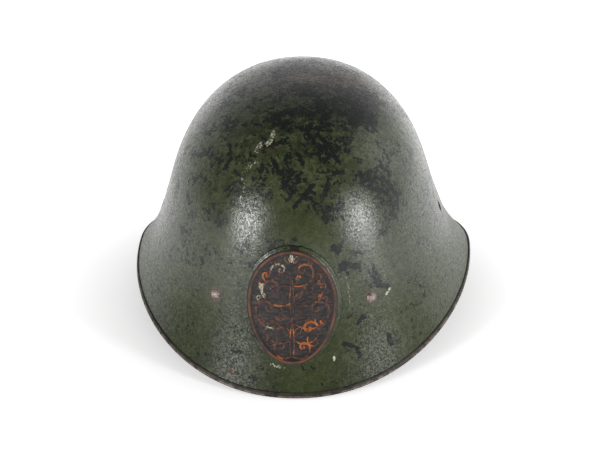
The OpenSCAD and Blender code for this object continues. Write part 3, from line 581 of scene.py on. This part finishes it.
# Front plate: stamped from one sheet of brass with a flat flange, a raised bead and a domed ground. The
# flange is painted with the bowl, the bead is worn to copper colour, and the ground is dark and pitted.
plate_middle, plate_half_w, plate_half_h = 0.0628, 0.034, 0.0435
flange, bead = 0.0025, 0.0032
plate = copy_of("badge_plate", "front_plate")
shape(plate, "SUBSURF", levels=2, render_levels=2)
smooth(plate, 60)


def inside_oval(point, inset):
    """True where the point, seen from the front, lies inside the plate's outline moved in by inset."""
    across = point.x / (plate_half_w - inset)
    upwards = (point.z - plate_middle) / (plate_half_h - inset)
    return across ** 2 + upwards ** 2 < 1


# The bead's crest is an oval; off_crest is how far a point lies from it, in parts of the oval's half width.
copper, dark_copper, old_brown = (0.115, 0.040, 0.018, 1), (0.030, 0.016, 0.012, 1), (0.010, 0.008, 0.007, 1)
bead_finish, tree, shader, place = new_material("worn_copper_bead")
crest_inset = flange + bead / 2
per_crest = (1 / (plate_half_w - crest_inset), 0, 1 / (plate_half_h - crest_inset))
from_middle = vector_sums(tree, "SUBTRACT", place, (0, 0, plate_middle))
in_crest = vector_sums(tree, "LENGTH", vector_sums(tree, "MULTIPLY", from_middle, per_crest), output="Value")
off_crest = sums(tree, "ABSOLUTE", sums(tree, "SUBTRACT", in_crest, 1.0))
worn = fade(tree, grain(tree, place, 110.0, 5.0, 0.7), 0.42, 0.56)
worn = sums(tree, "MULTIPLY", worn, fade(tree, off_crest, 0.012, 0.028, 1.0, 0.0))
colour = tint(tree, fade(tree, off_crest, 0.02, 0.04), dark_copper, old_brown)
colour = tint(tree, worn, colour, copper)
tree.links.new(colour, shader["Base Color"])
tree.links.new(sums(tree, "MULTIPLY", worn, 0.2), shader["Metallic"])
shader["Roughness"].default_value = 0.55
shader["Specular IOR Level"].default_value = 0.3
bump(tree, shader, grain(tree, place, 700.0), 0.5, 0.0003)

ground_finish, tree, shader, place = new_material("pitted_ground")
pits = grain(tree, drawn_out(tree, place, (0.35, 1, 1.3), (0, 0, 0)), 620.0, 4.0, 0.7)
colour = tint(tree, fade(tree, pits, 0.42, 0.7), (0.006, 0.005, 0.006, 1), (0.036, 0.026, 0.024, 1))
colour = tint(tree, fade(tree, grain(tree, place, 150.0, 4.0), 0.56, 0.68, 0.0, 0.6), colour, dark_copper)
tree.links.new(colour, shader["Base Color"])
tree.links.new(fade(tree, pits, 0.3, 0.7, 0.65, 0.5), shader["Roughness"])
shader["Specular IOR Level"].default_value = 0.3
bump(tree, shader, pits, 0.7, 0.0005)

for finish in (field_paint, bead_finish, ground_finish):
    plate.data.materials.append(finish)
for finish_number, inset in ((1, flange), (2, flange + bead)):
    select_faces(plate, lambda face: inside_oval(face.center, inset))
    plate.active_material_index = finish_number
    bpy.ops.object.material_slot_assign()
    bpy.ops.object.mode_set(mode="OBJECT")
seat(plate, "root", "plate_brass", "badge_plate")


# Ornament on the plate's ground: a common scroll-and-leaf relief, struck with the plate. A double stem rises
# up the middle, scrolls curl out of it to both sides, and leaves sit against it. It is worn to copper.
relief_finish, tree, shader, place = new_material("worn_relief")
worn = fade(tree, grain(tree, place, 75.0, 3.0), 0.555, 0.60)
tarnish = fade(tree, grain(tree, place, 420.0, 4.0), 0.40, 0.58)
colour = tint(tree, tarnish, (0.016, 0.010, 0.008, 1), (0.080, 0.034, 0.022, 1))
colour = tint(tree, worn, colour, (0.24, 0.072, 0.018, 1))
residue_field = marks(tree, place, [
    ((-24, -121, 70), (-20, -121, 74), 3, 6, 0.9),
    ((-15, -121, 45), (-12, -121, 40), 2, 5, 0.95),
    ((-12, -121, 92), (0, -119, 96), 3, 7, 0.7),
    ((2, -126, 36), (8, -125, 34), 1, 4, 0.7)])
residue = chips(tree, place, residue_field, 240.0)
residue = sums(tree, "MULTIPLY", residue, fade(tree, residue_field, 0.1, 0.4))
colour = tint(tree, sums(tree, "MULTIPLY", residue, 0.8), colour, old_primer)
tree.links.new(colour, shader["Base Color"])
tree.links.new(sums(tree, "MULTIPLY", worn, 0.2), shader["Metallic"])
tree.links.new(fade(tree, worn, 0.0, 1.0, 0.62, 0.5), shader["Roughness"])
shader["Specular IOR Level"].default_value = 0.3
bump(tree, shader, grain(tree, place, 800.0), 0.5, 0.0003)

ornament = []


def scroll_path(root, heart, radius, side, turns=1.7, steps=44):
    """Points (x, z) of a scroll that leaves the stem at root and winds up round its heart."""
    away = Vector(root) - Vector(heart)
    path = []
    for k in range(steps + 1):
        u = k / steps
        reach = (away.length - radius) * (1 - u) ** 4 + radius * (1 - 0.84 * u)
        turn = math.atan2(away.y, away.x) + side * 2 * math.pi * turns * u
        path.append((heart[0] + reach * math.cos(turn), heart[1] + reach * math.sin(turn)))
    return path


def raised_line(name, path, thick, thin):
    """A raised line along the path, laid flat in front of the plate and as thick as given at its ends."""
    line = bpy.data.curves.new(name, "CURVE")
    line.dimensions = "3D"
    line.bevel_depth = 0.001  # so that a point's radius is in millimetres
    line.bevel_resolution = 2
    line.use_fill_caps = True
    spline = line.splines.new("POLY")
    spline.points.add(len(path) - 1)
    for k, (x, z) in enumerate(path):
        share = k / (len(path) - 1)
        spline.points[k].co = (x / 1000, 0, z / 1000 + plate_middle, 1)
        spline.points[k].radius = thick + (thin - thick) * share
    pick_none()
    piece = bpy.data.objects.new(name, line)
    bpy.context.scene.collection.objects.link(piece)
    piece.select_set(True)
    bpy.context.view_layer.objects.active = piece
    bpy.ops.object.convert(target="MESH")
    bpy.context.object.data.materials.append(relief_finish)
    ornament.append(bpy.context.object)


def leaf(x, z, length, width, turn, height=0.0006):
    """A flat leaf with a ridge up its middle and a raised edge, pointed at both ends."""
    pick_none()
    bpy.ops.mesh.primitive_circle_add(
        vertices=20, radius=0.5, fill_type="TRIFAN", rotation=(math.pi / 2, 0, 0))
    piece = bpy.context.object
    bpy.ops.object.transform_apply()
    bpy.ops.object.mode_set(mode="EDIT")
    bpy.ops.mesh.select_all(action="SELECT")
    bpy.ops.mesh.extrude_region_move(TRANSFORM_OT_translate={"value": (0, -height, 0)})
    bpy.ops.object.mode_set(mode="OBJECT")
    angle = math.radians(turn)

    def leaf_point(across, along):
        """Where a point of the unit circle lies in the leaf, as (x, z) in millimetres."""
        across, along = across * width * (1 - (2 * abs(along)) ** 2.2 * 0.75), along * length
        to_side = along * math.sin(angle) + across * math.cos(angle)
        upwards = along * math.cos(angle) - across * math.sin(angle)
        return x + to_side, z + upwards

    for vertex in piece.data.vertices:
        vertex.co.y *= 1 - 0.5 * min(1, abs(vertex.co.x) * 2)
        point = leaf_point(vertex.co.x, vertex.co.z)
        vertex.co.x, vertex.co.z = point[0] / 1000, point[1] / 1000 + plate_middle
    piece.data.materials.append(relief_finish if len(ornament) % 5 == 0 else ground_finish)
    ornament.append(piece)
    turns = [step * math.pi / 10 for step in range(21)]
    edge = [leaf_point(0.5 * math.sin(turn), 0.5 * math.cos(turn)) for turn in turns]
    raised_line("leaf_edge", edge, 0.32, 0.32)


# Each scroll as where it leaves the stem, its heart and its radius, then each leaf as x, z, length, width
# and turn, in millimetres from the middle of the plate. Both come once on each side of the stem, and three
# more leaves crown it. Each scroll is a double line.
for root, heart, radius in (
        ((0.8, 2), (12.6, 12.6), 6.0),
        ((1.0, -12), (17.2, -2.6), 4.8),
        ((0.8, -24), (11.6, -16.2), 5.4),
        ((0.4, -35), (7.6, -29.0), 3.2),
        ((0.8, 15), (7.6, 26.2), 4.2),
        ((19.0, 8.0), (22.4, 4.4), 2.2),
        ((16.0, -10.0), (20.6, -12.4), 2.6),
        ((12.0, 18.5), (17.0, 21.6), 2.6),
        ((11.0, -22.0), (15.6, -25.4), 2.2)):
    for side in (-1, 1):
        for share in (1, 0.66):
            path = scroll_path((side * root[0], root[1]), (side * heart[0], heart[1]), radius * share, side)
            raised_line("scroll", path, 0.52, 0.32)
for side in (-1, 1):
    raised_line("stem", [(side * (1.0 + 0.5 * math.sin(k / 3)), -34 + k * 1.6) for k in range(36)], 0.5, 0.36)
for x, z, length, width, turn in (
        (4.8, 8.2, 9, 3.8, 38), (4.4, -5.6, 10, 4.4, 34), (4.0, -18.2, 8, 3.6, 40),
        (21.6, 12.6, 7, 2.8, 10), (24.0, -5.6, 6.5, 2.6, 174), (4.6, 20.6, 7, 2.8, 24),
        (17.8, -18.8, 6.5, 3.0, 130), (9.6, 1.6, 6.5, 2.8, 78), (9.2, -9.4, 6, 2.6, 82),
        (12.6, 31.2, 5, 2.2, 30)):
    for side in (-1, 1):
        leaf(side * x, z, length, width, side * turn)
for turn in (-30, 0, 30):
    leaf(6.2 * math.sin(math.radians(turn)), 27.0 + 8.2 * math.cos(math.radians(turn)), 6.4, 2.1, turn)

# Joined as one piece and laid on the plate: each point moves back by the depth of the plate behind it.
pick_none()
for piece in ornament:
    piece.select_set(True)
bpy.context.view_layer.objects.active = ornament[0]
bpy.ops.object.join()
relief_work = bpy.context.object
relief_work.name = "plate_ornament"
for vertex in relief_work.data.vertices:
    _, point, _, _ = plate.ray_cast(Vector((vertex.co.x, -0.3, vertex.co.z)), Vector((0, 1, 0)))
    vertex.co.y += point.y
smooth(relief_work, 50)
seat(relief_work, "root", "plate_brass")


# Plate prongs: two brass tabs of the plate, pushed through slots in the bowl and bent flat inside it.
# Rivets: domed steel heads outside, shanks through turned aluminium spacers, washers and formed ends inside.
def metal(name, base, spots, roughness, metallic, spot_density=0.25):
    """Bare or tinned metal with darker spots and fine handling marks."""
    made, tree, shader, place = new_material(name)
    spot = chips(tree, place, spot_density, 130.0)
    colour = tint(tree, fade(tree, grain(tree, place, 300.0), 0.35, 0.7, 0.0, 0.5), base, spots)
    tree.links.new(tint(tree, spot, colour, spots), shader["Base Color"])
    fine = scratches(tree, place, (0.5, 0.3, 0.8), 90.0, 0.03)
    dull = fade(tree, spot, 0.0, 1.0, roughness, roughness + 0.2)
    tree.links.new(sums(tree, "MULTIPLY_ADD", fine, 0.12, dull), shader["Roughness"])
    tree.links.new(fade(tree, spot, 0.0, 1.0, metallic, metallic * 0.3), shader["Metallic"])
    bump(tree, shader, grain(tree, place, 600.0), 0.35, 0.0003)
    return made


def dress(node, name, body, slot, finish, angle=40, bevel=None):
    """A copy of a plain rigid node with softened edges and its finish."""
    piece = copy_of(node, name)
    if bevel:
        shape(piece, "BEVEL", width=bevel, segments=2, limit_method="ANGLE", angle_limit=math.radians(angle))
    smooth(piece, angle)
    piece.data.materials.append(finish)
    seat(piece, body, slot, node)


dull_brass = metal("dull_brass", (0.32, 0.20, 0.08, 1), (0.09, 0.06, 0.04, 1), 0.4, 0.9)
rivet_finish = metal("worn_rivet_head", (0.30, 0.25, 0.225, 1), (0.06, 0.042, 0.036, 1), 0.55, 0.5, 0.66)
dull_aluminium = metal("dull_aluminium", (0.55, 0.56, 0.57, 1), (0.25, 0.25, 0.24, 1), 0.38, 1.0)
dress("badge_prongs", "plate_prongs", "root", "prong_brass", dull_brass, bevel=0.00015)
for node in ("rivet_front_left", "rivet_front_right", "rivet_rear"):
    dress(node, node + "_head", "root", "rivet_steel", rivet_finish, 50)
dress("rivet_spacers", "turned_spacers", "root", "spacer_aluminium", dull_aluminium, 50)
dress("rivet_washers", "soft_washers", "root", "spacer_aluminium", dull_aluminium, 50)


# Liner band with its lugs: a hoop of 0.8 mm strip, dipped grey-green, that stands off the bowl on the three
# spacers. A lug with a rolled barrel hangs from it at each side, on two small tinned rivets.
band_paint = metal("dipped_band_paint", (0.10, 0.115, 0.085, 1), (0.055, 0.035, 0.024, 1), 0.5, 0.0, 0.2)
tinned = metal("tinned_rivets", (0.52, 0.51, 0.48, 1), (0.20, 0.17, 0.14, 1), 0.35, 1.0)
dress("liner_band", "band_hoop", "root", "band_steel", band_paint, 30)
dress("side_lug_left", "lug_left", "root", "band_steel", band_paint, 30, 0.0002)
dress("side_lug_right", "lug_right", "root", "band_steel", band_paint, 30, 0.0002)
dress("lug_rivets", "lug_rivet_heads", "root", "small_rivet_steel", tinned, 50)
dress("sweatband_rivets", "band_rivet_heads", "root", "small_rivet_steel", tinned, 50)


# Pads: four cut strips of grey-brown wool felt, pinched between the band and the sweatband.
felt, tree, shader, place = new_material("wool_felt")
fibres = grain(tree, drawn_out(tree, place, (1, 4, 4), (0.5, 1.1, 0.3)), 700.0, 5.0, 0.75)
colour = tint(tree, fade(tree, fibres, 0.35, 0.65), (0.085, 0.075, 0.062, 1), (0.22, 0.20, 0.17, 1))
tree.links.new(colour, shader["Base Color"])
shader["Roughness"].default_value = 0.95
shader["Sheen Weight"].default_value = 0.4
bump(tree, shader, fibres, 0.9, 0.0008)
for side in ("front", "rear", "left", "right"):
    pad = copy_of("pad_" + side, "felt_" + side)
    shape(pad, "BEVEL", width=0.0009, segments=3, limit_method="ANGLE", angle_limit=math.radians(40))
    smooth(pad, 60)
    pad.data.materials.append(felt)
    seat(pad, "root", "pad_felt", "pad_" + side)


# Sweatband: a strip of 1.8 mm brown leather, riveted to the band below and held off it by the pads above,
# with a row of stitches below its upper edge. Wear has darkened it in patches and along its creases.
def leather(name, light, dark, wear):
    """Vegetable-tanned leather with pores, dark patches and dark creases, as strong as wear says."""
    made, tree, shader, place = new_material(name)
    pores = put(tree, "ShaderNodeTexVoronoi", {"Vector": place, "Scale": 900.0}).outputs["Distance"]
    folds = grain(tree, drawn_out(tree, place, (1, 1, 5), (0.2, 0.1, 0)), 120.0, 5.0, 0.65)
    colour = tint(tree, fade(tree, grain(tree, place, 35.0, 4.0), 0.36, 0.64), dark, light)
    colour = tint(tree, fade(tree, folds, 0.56, 0.72, 0.0, wear), colour, dark)
    tree.links.new(colour, shader["Base Color"])
    tree.links.new(fade(tree, folds, 0.3, 0.7, 0.46, 0.62), shader["Roughness"])
    bump(tree, shader, sums(tree, "MULTIPLY_ADD", pores, 0.5, folds), 0.5, 0.0005)
    return made


def sew(name, body, slot, runs, finish, thick=0.0009):
    """Stitches, one from each start to each end in the runs, joined as one piece."""
    pick_none()
    bpy.ops.mesh.primitive_uv_sphere_add(segments=6, ring_count=5, radius=0.5)
    pattern = bpy.context.object
    stitches = []
    for start, end in runs:
        stitch = pattern.copy()
        stitch.data = pattern.data.copy()
        bpy.context.scene.collection.objects.link(stitch)
        run = end - start
        stretch = Matrix.Diagonal((thick, thick, run.length * 0.82, 1))
        turn = run.to_track_quat("Z", "Y").to_matrix().to_4x4()
        stitch.data.transform(Matrix.Translation((start + end) / 2) @ turn @ stretch)
        stitches.append(stitch)
    bpy.data.objects.remove(pattern)
    for stitch in stitches:
        stitch.select_set(True)
    bpy.context.view_layer.objects.active = stitches[0]
    bpy.ops.object.join()
    seam = bpy.context.object
    seam.name = name
    smooth(seam, 80)
    seam.data.materials.append(finish)
    seat(seam, body, slot)


thread, tree, shader, place = new_material("waxed_linen_thread")
twist = put(tree, "ShaderNodeTexWave", {"Vector": place, "Scale": 900.0, "Distortion": 2.0}).outputs["Fac"]
tree.links.new(tint(tree, twist, (0.16, 0.12, 0.07, 1), (0.42, 0.36, 0.25, 1)), shader["Base Color"])
shader["Roughness"].default_value = 0.7
bump(tree, shader, twist, 0.5, 0.0003)

liner_leather = leather("liner_leather", (0.165, 0.078, 0.033, 1), (0.060, 0.029, 0.014, 1), 0.7)
sweatband = copy_of("sweatband", "leather_sweatband")
smooth(sweatband, 40)
sweatband.data.materials.append(liner_leather)
seat(sweatband, "root", "liner_leather", "sweatband")


stitch_lift = 0.0001


def ring_of_hits(piece, drop, count, middle_y=-0.002, narrow=0.994):
    """Points round the inside of a piece, this far below its upper edge there, or None where none is hit.

    The edge's height is taken within a narrow wedge, given as the cosine of half its angle."""
    points = []
    flat = [(vertex.co - Vector((0, middle_y, 0))) * Vector((1, 1, 0)) for vertex in piece.data.vertices]
    for k in range(count):
        way = direction(2 * math.pi * k / count)
        near = [vertex.co.z for vertex, out in zip(piece.data.vertices, flat)
                if out.dot(way) > narrow * out.length]
        hit, point, _, _ = piece.ray_cast(Vector((0, middle_y, max(near, default=0.088) - drop)), way)
        points.append(point - way * stitch_lift if hit else None)
    return points


edge_row = ring_of_hits(sweatband, 0.003, 280)
edge_runs = [edge_row[k:k + 2] for k in range(0, len(edge_row), 2)]
sew("sweatband_stitches", "root", "liner_leather", [run for run in edge_runs if None not in run], thread)


# Crown tongues: eight cut leather leaves, sewn to the back of the sweatband, that arch towards the crown.
# Each tip is folded into a tunnel for the lace and sewn across. The lace is a waxed cord, knotted behind.
crown_middle, tunnel_reach = Vector((0, -0.00585, 0.05)), 0.031
stitch_pitch, half_stitch = 0.0024, 0.0009
tunnel_stitches = []
for k in range(8):
    tongue = copy_of(f"tongue_{k + 1}", f"leather_tongue_{k + 1}")
    smooth(tongue, 40)
    tongue.data.materials.append(liner_leather)
    seat(tongue, "root", "liner_leather", f"tongue_{k + 1}")
    turn = 2 * math.pi * (k + 0.5) / 8
    away = direction(turn)
    along = Vector((math.cos(turn), math.sin(turn), 0))
    for step in range(-2, 3):
        ends = []
        for shift in (-half_stitch, half_stitch):
            start = crown_middle + away * tunnel_reach + along * (step * stitch_pitch + shift)
            hit, point, _, _ = tongue.ray_cast(start, Vector((0, 0, 1)))
            if hit:
                ends.append(point - Vector((0, 0, stitch_lift)))
        if len(ends) == 2:
            tunnel_stitches.append(tuple(ends))
sew("tunnel_stitches", "root", "liner_leather", tunnel_stitches, thread, 0.0007)

lace_finish, tree, shader, place = new_material("waxed_cord")
strand_inputs = {"Vector": place, "Scale": 420.0, "Distortion": 3.0}
strands = put(tree, "ShaderNodeTexWave", strand_inputs, bands_direction="DIAGONAL").outputs["Fac"]
tree.links.new(tint(tree, strands, (0.020, 0.013, 0.008, 1), (0.085, 0.058, 0.035, 1)), shader["Base Color"])
shader["Roughness"].default_value = 0.6
bump(tree, shader, strands, 0.7, 0.0004)
lace = copy_of("crown_lace", "drawn_lace")
smooth(lace, 70)
lace.data.materials.append(lace_finish)
seat(lace, "root", "lace_cord", "crown_lace")


# Side rings: bent steel wire, closed to a rectangle, that swing in the lugs' barrels and carry the straps.
# Buckle: a frame of the same wire with a prong on its fixed bar.
wire = metal("dull_steel_wire", (0.36, 0.35, 0.33, 1), (0.11, 0.08, 0.06, 1), 0.36, 1.0, 0.35)
dress("side_ring_left", "ring_left", "left_ring", "ring_steel", wire, 50)
dress("side_ring_right", "ring_right", "right_ring", "ring_steel", wire, 50)
dress("buckle_frame", "buckle_wire", "root", "ring_steel", wire, 50)
dress("buckle_tang", "buckle_prong", "tang", "ring_steel", wire, 50)


# Chinstrap: two halves of 2 mm harness leather, 16 mm wide, each folded round a ring. The short half ends in
# the buckle and carries the keeper; the long half is punched and lies curled back.
strap_leather = leather("strap_leather", (0.120, 0.055, 0.024, 1), (0.038, 0.019, 0.010, 1), 0.8)
for node, name, side, ring in (
        ("strap_long", "long_strap", -1, "left_ring"),
        ("strap_short", "short_strap", 1, "right_ring"),
        ("strap_keeper", "keeper_loop", 1, "right_ring")):
    strap = copy_of(node, name)
    shape(strap, "BEVEL", width=0.0003, segments=2, limit_method="ANGLE", angle_limit=math.radians(50))
    smooth(strap, 40)
    strap.data.materials.append(strap_leather)
    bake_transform(strap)
    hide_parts(node)
